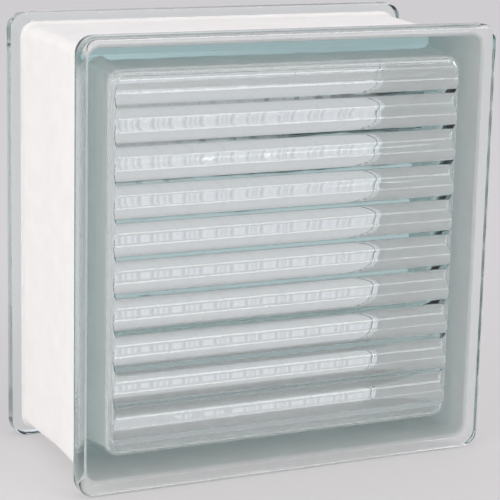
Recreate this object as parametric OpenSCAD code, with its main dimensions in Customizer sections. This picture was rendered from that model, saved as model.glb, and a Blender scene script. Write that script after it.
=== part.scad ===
// Hollow glass block for a wall: two pressed glass half shells, fused rim to rim,
// with a white coating in the mortar recess that runs round the four sides.
// The block stands on its bottom flanges: X is its width, Y its thickness, Z its
// height, and the origin is in the middle of the footprint, on the floor.
// The front half looks towards -Y. Both halves come from one mould: the back half
// is the front half turned round and given a quarter turn, so that its flutes run
// up and down behind the level flutes of the front.

/* [Block] */
// Width and height of the two faces
face_w = 196.9; // [150:0.1:300]
// Thickness of the block, from face to face
block_t = 98.4; // [80:0.1:120]
// Radius of the flange corners, seen from the front
corner_r = 7.5; // [5:0.1:12]

/* [Flanges and mortar recess] */
// Thickness of each flange, from the face to its inner edge
flange_t = 8.5; // [7:0.1:12]
// Rounding between the face and the sides of the flange
rim_r = 2.5; // [1:0.1:3.5]
// Rounding of the inner edge of the flange
lip_r = 0.8; // [0.3:0.1:1.5]
// Depth of the recess below the flange, at the foot of the flange
foot_depth = 5.5; // [4.5:0.1:8]
// Extra depth of the recess at the seam, where both halves taper to
seam_taper = 1.2; // [0.5:0.1:3]
// How far the flange wall leans back between its lip and its foot
wall_lean = 1.2; // [0.5:0.1:3]
// Radius of the fillet at the foot of the flange wall
foot_r = 2.5; // [1:0.1:4]
// Corner radius of the body between the flanges, before its taper
body_r = 10.5; // [9:0.5:20]

/* [Glass] */
// Thickness of each face in its plain border, which the ridges almost reach
face_t = 10.9; // [9:0.1:14]
// Thickness of the side walls at the seam
side_t = 5.2; // [4.5:0.1:9]
// Draft of the cavity walls, in degrees
cavity_draft = 4.5; // [1:0.1:6]
// Radius between the cavity walls and the face
cavity_r = 4.5; // [3:0.1:6]
// Corner radius of the cavity at the seam, seen from the front
cavity_corner_r = 9; // [7:0.5:16]

/* [Flutes] */
// Number of flutes across each face
flute_count = 10; // [8:1:12]
// Depth of a flute below the ridges on either side
flute_depth = 2.8; // [1:0.1:4.2]
// Roundness of the wave: 1 makes it of full arcs, less leaves straight flanks
wave_round = 0.95; // [0.3:0.05:0.95]
// How far the ridges stay below the plain border
ridge_drop = 0.3; // [0.1:0.1:0.6]
// How far the ends of the flutes reach past the square that the flutes fill
end_reach = 0.8; // [-20:0.1:1.5]
// Height of the bow in which each flute ends, seen from the front
end_bow = 2.8; // [1:0.1:5]

/* [Edge coating] */
// Thickness of the white coating on the sides
coat_t = 0.3; // [0.1:0.05:0.6]
// Height above the recess floor that the coating reaches on the flange wall
coat_rise = 1.5; // [0.5:0.1:3]

/* [Hidden] */
$fn = 96;
overlap = 0.01;
bow_steps = 6; // straight steps in each bow
field_reach = 1.3; // from the flat of the face into the rounding of the cavity
half_w = face_w / 2;
half_t = block_t / 2;
seam_depth = foot_depth + seam_taper;
flange_centre = half_w - corner_r;
body_centre = half_w - body_r;
cavity_centre = half_w - seam_depth - side_t - cavity_corner_r;

// A fillet between two straight edges that meet at p: d1 and d2 are the unit
// directions of the edges, away from p.
function unit(v) = v / norm(v);
function half_angle(d1, d2) = acos(d1 * d2) / 2;
function centre_shift(d1, d2, r) = unit(d1 + d2) * r / sin(half_angle(d1, d2));
function fillet_reach(d1, d2, r) = r / tan(half_angle(d1, d2));

// Foot of the flange wall, in the section of the body
lip_end = [body_r - lip_r, flange_t];
foot = [body_r - foot_depth, flange_t + wall_lean];
seam_edge = [body_r - seam_depth, half_t];
up_wall = unit(lip_end - foot);
to_seam = unit(seam_edge - foot);
foot_centre = foot + centre_shift(up_wall, to_seam, foot_r);

// Corner between the cavity wall and the face, in the section of the cavity
cavity_edge = [cavity_corner_r, half_t];
cavity_foot = [cavity_corner_r - (half_t - face_t) * tan(cavity_draft), face_t];
along_face = [-1, 0];
up_cavity = unit(cavity_edge - cavity_foot);
cavity_fillet = cavity_foot + centre_shift(along_face, up_cavity, cavity_r);
cavity_reach = fillet_reach(along_face, up_cavity, cavity_r);

// The flutes fill the flat of the face, and a little of the rounding about it, with a
// wave of hollows and ridges of one radius, joined by straight flanks. The two points
// are where the arcs end, from the middle of a flute.
field = 2 * (cavity_centre + cavity_foot.x - cavity_reach + field_reach);
flute_pitch = field / flute_count;
hollows = [for (i = [0 : flute_count - 1]) (i + (1 - flute_count) / 2) * flute_pitch];
flute_len = field + 2 * end_reach;
bow_r = (pow(flute_pitch / 2, 2) + pow(end_bow, 2)) / (2 * end_bow);
ridge_t = face_t - ridge_drop;
full_r = (pow(flute_pitch / 2, 2) + pow(flute_depth, 2)) / (4 * flute_depth);
wave_r = wave_round * full_r;
arc_apart = [flute_pitch / 2, 2 * wave_r - flute_depth];
flank = asin(2 * wave_r / norm(arc_apart)) - atan(arc_apart.y / arc_apart.x);
arc_end = wave_r * [sin(flank), 1 - cos(flank)];
hollow_end = [arc_end.x, ridge_t - flute_depth + arc_end.y];
ridge_end = [flute_pitch / 2 - arc_end.x, ridge_t - arc_end.y];
end_depth = flute_depth + 2 * ridge_drop;

// One half is drawn face down: its face lies on z = 0, the middle of the face is on
// the origin and the seam is at z = half_t. In each section, x counts outwards from
// the centre of the corner rounding and y counts up from the face.

// Sweeps a section round a rounded square whose corner centres lie corner_at from
// both middle planes
module ring(corner_at) {
    for (turn = [0 : 90 : 270])
        rotate([0, 0, turn])
            translate([corner_at, corner_at, 0]) {
                rotate_extrude(angle = 90) children();
                rotate([90, 0, 0]) linear_extrude(2 * corner_at) children();
            }
}

// The same, filled between its corner centres from z0 to z1
module rounded_square(corner_at, z0, z1) {
    side = 2 * (corner_at + overlap);
    translate([-side / 2, -side / 2, z0]) cube([side, side, z1 - z0]);
    ring(corner_at) children();
}

// Flat face, rounded rim, straight land and rounded lip
module flange_section() {
    square([corner_r - rim_r, flange_t]);
    translate([0, rim_r]) square([corner_r - lip_r, flange_t - rim_r]);
    translate([0, rim_r]) square([corner_r, flange_t - rim_r - lip_r]);
    translate([corner_r - rim_r, rim_r]) circle(rim_r);
    translate([corner_r - lip_r, flange_t - lip_r]) circle(lip_r);
}

// Flange wall, fillet and tapered recess floor, with a skin of thickness skin on it
module body_section(skin) {
    r = foot_r - skin;
    corner = foot_centre - centre_shift(up_wall, to_seam, r);
    reach = fillet_reach(up_wall, to_seam, r);
    seam = seam_edge + [to_seam.y, -to_seam.x] * skin;
    wall_top = corner + up_wall * norm(lip_end - foot);
    difference() {
        polygon([
            [0, rim_r],
            [wall_top.x, rim_r],
            wall_top,
            corner + up_wall * reach,
            corner + to_seam * reach,
            seam,
            [0, seam.y]
        ]);
        translate(foot_centre) circle(r);
    }
}

// Hollow inside of one half, with a radius where its walls meet the face. Only the
// outer half of the circle counts, so that it stays clear of the axis of the corner.
module cavity_section() {
    polygon([
        [0, face_t],
        cavity_foot + along_face * cavity_reach,
        cavity_foot + up_cavity * cavity_reach,
        cavity_edge,
        cavity_edge + [0, 1],
        [0, half_t + 1]
    ]);
    intersection() {
        translate(cavity_fillet) circle(cavity_r);
        translate([cavity_fillet.x, 0]) square([2 * cavity_r, half_t]);
    }
}

// Cross section of all flutes of a face: hollows between round ridges
module wave_section() {
    ridges = [for (i = [0 : flute_count]) (i - flute_count / 2) * flute_pitch];
    difference() {
        union() {
            polygon([
                [-field / 2, face_t + end_depth],
                [-field / 2, ridge_end.y],
                for (x = hollows) each [
                    [x - ridge_end.x, ridge_end.y],
                    [x - hollow_end.x, hollow_end.y],
                    [x + hollow_end.x, hollow_end.y],
                    [x + ridge_end.x, ridge_end.y]
                ],
                [field / 2, ridge_end.y],
                [field / 2, face_t + end_depth]
            ]);
            for (x = hollows)
                translate([x, ridge_t - flute_depth + wave_r]) circle(wave_r);
        }
        for (x = ridges)
            translate([x, ridge_t - wave_r]) circle(wave_r);
    }
}

// Outline of the fluted field, seen from the front: each flute ends in a bow
module field_outline() {
    centre = flute_len / 2 - bow_r;
    half_bow = asin(flute_pitch / 2 / bow_r);
    turns = [for (i = [0 : bow_steps - 1]) (2 * i / bow_steps - 1) * half_bow];
    bows = [for (y = hollows, turn = turns) [centre + bow_r * cos(turn), y + bow_r * sin(turn)]];
    right = concat(bows, [[centre + bow_r * cos(half_bow), field / 2]]);
    left = [for (i = [len(right) - 1 : -1 : 0]) [-right[i].x, right[i].y]];
    polygon(concat(right, left));
}

// All flutes of one face, side by side and parallel to X
module flutes() {
    intersection() {
        rotate([90, 0, 90])
            translate([0, 0, -half_w]) linear_extrude(face_w) wave_section();
        translate([0, 0, face_t - end_depth])
            linear_extrude(3 * end_depth) field_outline();
    }
}

module half_shell() {
    difference() {
        union() {
            rounded_square(flange_centre, 0, flange_t) flange_section();
            rounded_square(body_centre, rim_r, half_t) body_section(0);
        }
        rounded_square(cavity_centre, face_t, half_t + 1) cavity_section();
        flutes();
    }
}

// The coating of both halves, in one piece
module coating() {
    reach = body_r - foot_depth + coat_rise;
    ring(body_centre)
        for (flip = [0, 1])
            translate([0, flip * block_t])
                mirror([0, flip])
                    intersection() {
                        difference() {
                            body_section(coat_t);
                            body_section(0);
                        }
                        translate([0, flange_t]) square([reach, half_t - flange_t]);
                    }
}

// Stands a half up, facing -Y
module stand() {
    translate([0, -half_t, half_w]) rotate([-90, 0, 0]) children();
}

module front_shell() {
    color([0.80, 0.88, 0.87, 0.45])
        stand() half_shell();
}

module back_shell() {
    color([0.76, 0.85, 0.84, 0.45])
        rotate([0, 0, 180]) stand() rotate([0, 0, 90]) half_shell();
}

module edge_coating() {
    color([0.96, 0.94, 0.92])
        stand() coating();
}

front_shell();
back_shell();
edge_coating();
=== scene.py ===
# %% [markdown]
# # A hollow glass block
#
# The block is two pressed half shells of clear, faintly green glass. They are fused
# rim to rim, so that the finished block is one piece of glass with sealed air in it.
# Each inner face carries flutes: level ones in front, upright ones behind. The mortar
# recess round the four sides wears a white coating, which keeps the joints of a wall
# from showing through the glass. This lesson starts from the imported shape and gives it
# glass that bends light the way the real block does.

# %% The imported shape
import math

import bmesh
import bpy
from mathutils import Matrix, Vector


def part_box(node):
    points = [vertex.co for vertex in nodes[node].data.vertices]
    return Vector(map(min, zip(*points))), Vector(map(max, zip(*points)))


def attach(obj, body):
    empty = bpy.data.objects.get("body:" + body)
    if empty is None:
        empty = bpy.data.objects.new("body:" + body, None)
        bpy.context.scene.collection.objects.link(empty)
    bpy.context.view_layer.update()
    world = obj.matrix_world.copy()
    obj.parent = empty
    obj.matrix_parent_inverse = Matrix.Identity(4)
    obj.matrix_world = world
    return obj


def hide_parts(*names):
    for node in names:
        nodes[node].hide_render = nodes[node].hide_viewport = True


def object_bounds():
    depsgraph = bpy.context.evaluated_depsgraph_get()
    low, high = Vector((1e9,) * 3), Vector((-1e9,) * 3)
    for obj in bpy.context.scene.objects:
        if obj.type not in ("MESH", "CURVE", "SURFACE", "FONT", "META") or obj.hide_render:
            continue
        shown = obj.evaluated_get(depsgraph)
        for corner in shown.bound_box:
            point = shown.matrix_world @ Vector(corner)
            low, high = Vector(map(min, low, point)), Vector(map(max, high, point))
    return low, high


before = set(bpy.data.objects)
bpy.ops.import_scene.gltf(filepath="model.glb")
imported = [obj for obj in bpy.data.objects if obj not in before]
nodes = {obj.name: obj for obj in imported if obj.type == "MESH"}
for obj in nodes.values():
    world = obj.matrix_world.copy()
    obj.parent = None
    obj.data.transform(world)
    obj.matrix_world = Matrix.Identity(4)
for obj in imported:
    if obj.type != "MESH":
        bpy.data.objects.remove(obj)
lowest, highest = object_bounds()
mid_height = (lowest.z + highest.z) / 2
MM = 0.001
print("block size in mm:", [round(side / MM, 1) for side in highest - lowest])

# %% [markdown]
# ## One glass body
#
# Light only bends correctly if the glass is one closed skin: the outside once, the
# cavity once, and nothing where the halves are fused. Two touching shells would leave a
# pair of faces along the seam, and each would act as a mirror. So the two halves are
# joined, the faces on the seam plane are taken out, and the rims are welded.


# %% Fuse the halves
def fuse_halves(halves, name, weld=0.005 * MM):
    glass = bmesh.new()
    for half in halves:
        glass.from_mesh(half.data)
    bmesh.ops.remove_doubles(glass, verts=glass.verts, dist=weld)
    on_seam = [f for f in glass.faces if all(abs(v.co.y) < weld for v in f.verts)]
    bmesh.ops.delete(glass, geom=on_seam, context="FACES")
    bmesh.ops.remove_doubles(glass, verts=glass.verts, dist=weld)
    open_edges = sum(not edge.is_manifold for edge in glass.edges)
    print(name, "faces:", len(glass.faces), "seam faces out:", len(on_seam), "open edges:", open_edges)
    mesh = bpy.data.meshes.new(name)
    glass.to_mesh(mesh)
    glass.free()
    fused = bpy.data.objects.new(name, mesh)
    bpy.context.scene.collection.objects.link(fused)
    return fused


glass_block = fuse_halves([nodes["front_shell"], nodes["back_shell"]], "glass_block")

# %% [markdown]
# ## Glass against coating
#
# The coating sticks to the glass, so there is no air between them. If the two surfaces
# only touched, a ray could leave the glass just before it met the coating, and the side
# walls would look like mirrors instead of white. The glass is therefore let into the
# coating by a few hundredths of a millimetre, where the coating covers it. The points of
# the cavity lie deeper than the recess reaches, so they are told apart by their depth.

# %% Let the glass into the coating
CONTACT = 0.05 * MM
CLOSE_BY = 0.1 * MM
RECESS_REACH = 4 * MM


def let_into(fused, cover, depth):
    low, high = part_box(cover)
    skin = bmesh.new()
    skin.from_mesh(fused.data)
    skin.normal_update()
    deepest = high.x - RECESS_REACH
    covered = [
        v
        for v in skin.verts
        if low.y - CLOSE_BY < v.co.y < high.y + CLOSE_BY
        and deepest < max(abs(v.co.x), abs(v.co.z - mid_height)) < high.x + CLOSE_BY
    ]
    for v in covered:
        v.co += v.normal * depth
    skin.to_mesh(fused.data)
    skin.free()
    print("points let into the coating:", len(covered))


let_into(glass_block, "edge_coating", CONTACT)

# %% [markdown]
# ## Smooth curves, flat faces
#
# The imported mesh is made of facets. Smooth shading blends them, and a Weighted Normal
# modifier lets the big flat faces keep their own direction, so that the blend happens
# only in the rounded rims and flutes. Real creases, such as the ends of the flutes, are
# marked sharp by their angle first.


# %% Shade the curves
FLAT_FACES_LEAD = 100  # the highest weight that the modifier takes


def shade_curves(piece, crease=32):
    piece.data.shade_smooth()
    piece.data.set_sharp_from_angle(angle=math.radians(crease))
    weighted = piece.modifiers.new("flat_faces_lead", "WEIGHTED_NORMAL")
    weighted.mode = "FACE_AREA_WITH_ANGLE"
    weighted.weight = FLAT_FACES_LEAD
    weighted.keep_sharp = True
    print(piece.name, "edges kept sharp:", sum(e.use_edge_sharp for e in piece.data.edges))


shade_curves(glass_block)
shade_curves(nodes["edge_coating"])
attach(glass_block, "root")
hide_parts("front_shell", "back_shell")


# %% [markdown]
# ## Shared effects
#
# Pressed glass is never quite even: the mould and the cooling leave shallow ripples. The
# same kind of soft unevenness, only finer, is on the sprayed coating. Both come from one
# node group that gives a height, and each material sets its own sizes.


# %% Node helpers
def add_node(tree, kind, place=(0, 0), **settings):
    node = tree.nodes.new(kind)
    node.location = place
    for name, value in settings.items():
        setattr(node, name, value)
    return node


def make_unevenness():
    group = bpy.data.node_groups.new("unevenness", "ShaderNodeTree")
    sockets = group.interface
    sockets.new_socket("Ripples per Metre", in_out="INPUT", socket_type="NodeSocketFloat")
    sockets.new_socket("Detail", in_out="INPUT", socket_type="NodeSocketFloat")
    sockets.new_socket("Height", in_out="OUTPUT", socket_type="NodeSocketFloat")
    inputs = add_node(group, "NodeGroupInput", (-600, 0))
    outputs = add_node(group, "NodeGroupOutput", (400, 0))
    place = add_node(group, "ShaderNodeTexCoord", (-600, 200))
    noise = add_node(group, "ShaderNodeTexNoise", (-100, 0))
    noise.inputs["Roughness"].default_value = 0.45
    group.links.new(place.outputs["Object"], noise.inputs["Vector"])
    group.links.new(inputs.outputs["Ripples per Metre"], noise.inputs["Scale"])
    group.links.new(inputs.outputs["Detail"], noise.inputs["Detail"])
    group.links.new(noise.outputs["Fac"], outputs.inputs["Height"])
    return group


unevenness = make_unevenness()
print("shared effect:", unevenness.name)


# %% Place the effect in a material
def uneven_height(tree, per_metre, detail, place):
    node = add_node(tree, "ShaderNodeGroup", place, node_tree=unevenness)
    node.inputs["Ripples per Metre"].default_value = per_metre
    node.inputs["Detail"].default_value = detail
    return node.outputs["Height"]


def new_material(name):
    material = bpy.data.materials.new(name)
    material.use_nodes = True
    tree = material.node_tree
    return material, tree, tree.nodes["Principled BSDF"]


# %% [markdown]
# ## Clear glass
#
# The glass is a Principled BSDF with full transmission and no roughness. Its green comes
# from the depth of glass that the light crosses, so it is a Volume Absorption, and not a
# tint on the surface: thin parts stay clear and the thick flanges turn green.


# %% The glass
def make_glass():
    material, tree, surface = new_material("clear_glass")
    surface.inputs["Base Color"].default_value = (1, 1, 1, 1)
    surface.inputs["Roughness"].default_value = 0.0
    surface.inputs["IOR"].default_value = 1.52
    surface.inputs["Transmission Weight"].default_value = 1.0
    tint = add_node(tree, "ShaderNodeVolumeAbsorption", (0, -300))
    tint.inputs["Color"].default_value = (0.33, 0.66, 0.67, 1)
    tint.inputs["Density"].default_value = 10.5
    output = tree.nodes["Material Output"]
    tree.links.new(tint.outputs["Volume"], output.inputs["Volume"])
    ripple = add_node(tree, "ShaderNodeBump", (-250, -100))
    ripple.inputs["Strength"].default_value = 0.25
    ripple.inputs["Distance"].default_value = 0.4 * MM
    height = uneven_height(tree, per_metre=60, detail=1, place=(-500, -100))
    tree.links.new(height, ripple.inputs["Height"])
    tree.links.new(ripple.outputs["Normal"], surface.inputs["Normal"])
    return material


glass_block.data.materials.append(make_glass())
print("glass on", glass_block.name)

# %% [markdown]
# ## White coating
#
# The coating is matte and slightly warm. It is sprayed on, so its colour and its surface
# are mottled a little. It is also thin: some light comes through it from outside and
# brightens the side walls that are seen through the faces. Subsurface scattering over a
# depth of more than the coating does that.


# %% The coating
def make_coating():
    material, tree, surface = new_material("white_coating")
    surface.inputs["Roughness"].default_value = 0.75
    surface.inputs["Specular IOR Level"].default_value = 0.3
    surface.inputs["Subsurface Weight"].default_value = 1.0
    surface.inputs["Subsurface Radius"].default_value = (1, 1, 1)
    surface.inputs["Subsurface Scale"].default_value = 1.5 * MM
    shade = add_node(tree, "ShaderNodeValToRGB", (-300, 100))
    shade.color_ramp.elements[0].position = 0.3
    shade.color_ramp.elements[0].color = (0.90, 0.86, 0.82, 1)
    shade.color_ramp.elements[1].position = 0.7
    shade.color_ramp.elements[1].color = (0.94, 0.91, 0.88, 1)
    mottle = uneven_height(tree, per_metre=90, detail=4, place=(-500, 100))
    tree.links.new(mottle, shade.inputs["Fac"])
    tree.links.new(shade.outputs["Color"], surface.inputs["Base Color"])
    grain = add_node(tree, "ShaderNodeBump", (-250, -150))
    grain.inputs["Strength"].default_value = 0.4
    grain.inputs["Distance"].default_value = 0.2 * MM
    height = uneven_height(tree, per_metre=900, detail=5, place=(-500, -150))
    tree.links.new(height, grain.inputs["Height"])
    tree.links.new(grain.outputs["Normal"], surface.inputs["Normal"])
    return material


coating = nodes["edge_coating"]
coating.data.materials.clear()
coating.data.materials.append(make_coating())
print("coating on", coating.name)

# %% [markdown]
# ## Floor and light
#
# Glass shows its surroundings more than itself, so they are kept plain. The floor is pale
# and glows a little, because glass mirrors whatever is under the block. The sky is a soft
# white with shallow bands from left to right. The flutes pick the bands up as stripes.


# %% The floor
def make_floor(half=12.0):
    mesh = bpy.data.meshes.new("floor")
    corners = [(-half, -half, 0), (half, -half, 0), (half, half, 0), (-half, half, 0)]
    mesh.from_pydata(corners, [], [(0, 1, 2, 3)])
    floor = bpy.data.objects.new("floor", mesh)
    bpy.context.scene.collection.objects.link(floor)
    material, tree, surface = new_material("pale_floor")
    surface.inputs["Base Color"].default_value = (0.30, 0.30, 0.30, 1)
    surface.inputs["Emission Color"].default_value = (1.0, 0.98, 1.0, 1)
    surface.inputs["Emission Strength"].default_value = 0.35
    surface.inputs["Roughness"].default_value = 0.9
    surface.inputs["Specular IOR Level"].default_value = 0.1
    floor.data.materials.append(material)
    print("floor", 2 * half, "m across")


make_floor()


# %% The sky
def grey_ramp(tree, stops, place):
    ramp = add_node(tree, "ShaderNodeValToRGB", place)
    points = ramp.color_ramp.elements
    points.remove(points[1])
    for index, (position, grey) in enumerate(stops):
        point = points[0] if index == 0 else points.new(position)
        point.position = position
        point.color = (grey, grey, grey, 1)
    return ramp


def along(tree, split, axis, stops, height):
    spread = add_node(tree, "ShaderNodeMapRange", (-500, height))
    spread.inputs["From Min"].default_value = -1
    ramp = grey_ramp(tree, stops, (-300, height))
    tree.links.new(split.outputs[axis], spread.inputs["Value"])
    tree.links.new(spread.outputs["Result"], ramp.inputs["Fac"])
    return ramp.outputs["Color"]


def make_sky(front_to_back, left_to_right, hue):
    world = bpy.data.worlds.new("studio")
    bpy.context.scene.world = world
    world.use_nodes = True
    tree = world.node_tree
    way = add_node(tree, "ShaderNodeTexCoord", (-900, 0))
    split = add_node(tree, "ShaderNodeSeparateXYZ", (-700, 0))
    tree.links.new(way.outputs["Generated"], split.inputs[0])
    depth = along(tree, split, "Y", front_to_back, 0)
    width = along(tree, split, "X", left_to_right, -300)
    both = add_node(tree, "ShaderNodeVectorMath", (0, 0), operation="MULTIPLY")
    tree.links.new(depth, both.inputs[0])
    tree.links.new(width, both.inputs[1])
    toned = add_node(tree, "ShaderNodeVectorMath", (150, 0), operation="MULTIPLY")
    tree.links.new(both.outputs["Vector"], toned.inputs[0])
    toned.inputs[1].default_value = hue
    tree.links.new(toned.outputs["Vector"], tree.nodes["Background"].inputs["Color"])


# each stop is a place from 0 to 1 and how bright the sky is there
FRONT_TO_BACK = [(0.0, 0.95), (0.4, 0.87), (0.6, 0.8), (1.0, 0.85)]
LEFT_TO_RIGHT = [
    (0.0, 1.0),
    (0.50, 1.0),
    (0.58, 0.78),
    (0.66, 1.0),
    (0.73, 0.72),
    (0.80, 1.0),
    (1.0, 0.8),
]
make_sky(FRONT_TO_BACK, LEFT_TO_RIGHT, hue=(1.0, 0.97, 1.01))
print("sky stops:", len(FRONT_TO_BACK), "front to back,", len(LEFT_TO_RIGHT), "left to right")


# %% [markdown]
# Two soft lamps finish the studio. The big one on the left lights the coating. The long
# one, high at the front right, draws the thin bright lines along the flutes.

# %% Soft lamps
def soft_lamp(name, place, watts, size):
    data = bpy.data.lights.new(name, "AREA")
    data.energy = watts
    data.color = (1.0, 0.95, 0.9)
    data.shape = "RECTANGLE"
    data.size, data.size_y = size
    lamp = bpy.data.objects.new(name, data)
    aim = Vector((0, 0, mid_height)) - Vector(place)
    lamp.matrix_world = Matrix.Translation(place) @ aim.to_track_quat("-Z", "Y").to_matrix().to_4x4()
    bpy.context.scene.collection.objects.link(lamp)
    print("lamp", name, watts, "W")


soft_lamp("left_softbox", place=(-1.8, -0.6, 0.7), watts=20, size=(1.4, 1.2))
soft_lamp("top_softbox", place=(0.75, -1.35, 1.2), watts=11, size=(1.2, 0.5))

# %% [markdown]
# ## Room for the light to bounce
#
# A ray that is caught in thick glass can be reflected many times before it leaves, so it
# gets more than the usual twelve bounces. The Standard view transform keeps whites white.

# %% Bounces and view
BOUNCES = 32
scene = bpy.context.scene
scene.cycles.max_bounces = BOUNCES
scene.cycles.transmission_bounces = BOUNCES
scene.view_settings.view_transform = "Standard"
print("bounces:", BOUNCES)

# %% [markdown]
# ## Camera
#
# The camera stands to the front left, a little above the block, and looks down on it with
# a long lens. It is turned by a little over a degree about its own line of sight.

# %% The camera
AZIMUTH, ELEVATION, ROLL = (math.radians(angle) for angle in (25.35, 13.11, 1.37))
DISTANCE = 0.893
AIM = Vector((0.0026, 0, mid_height - 0.007))
LENS_MM = 140.6
SENSOR_MM = 36
SHIFT_X, SHIFT_Y = -0.0031, -0.0042


def make_camera():
    data = bpy.data.cameras.new("camera")
    data.sensor_width = SENSOR_MM
    data.lens = LENS_MM
    data.shift_x = SHIFT_X
    data.shift_y = SHIFT_Y
    data.clip_start = 0.01
    camera = bpy.data.objects.new("camera", data)
    level = math.cos(ELEVATION)
    back = Vector((-math.sin(AZIMUTH) * level, -math.cos(AZIMUTH) * level, math.sin(ELEVATION)))
    turn = (-back).to_track_quat("-Z", "Y").to_matrix() @ Matrix.Rotation(ROLL, 3, "Z")
    camera.matrix_world = Matrix.Translation(AIM + back * DISTANCE) @ turn.to_4x4()
    bpy.context.scene.collection.objects.link(camera)
    bpy.context.scene.camera = camera
    return camera


camera = make_camera()
print("camera at", [round(value, 3) for value in camera.matrix_world.translation])

# %% [markdown]
# ## The end
#
# Last, the view layer is updated.

# %% The end
bpy.context.view_layer.update()
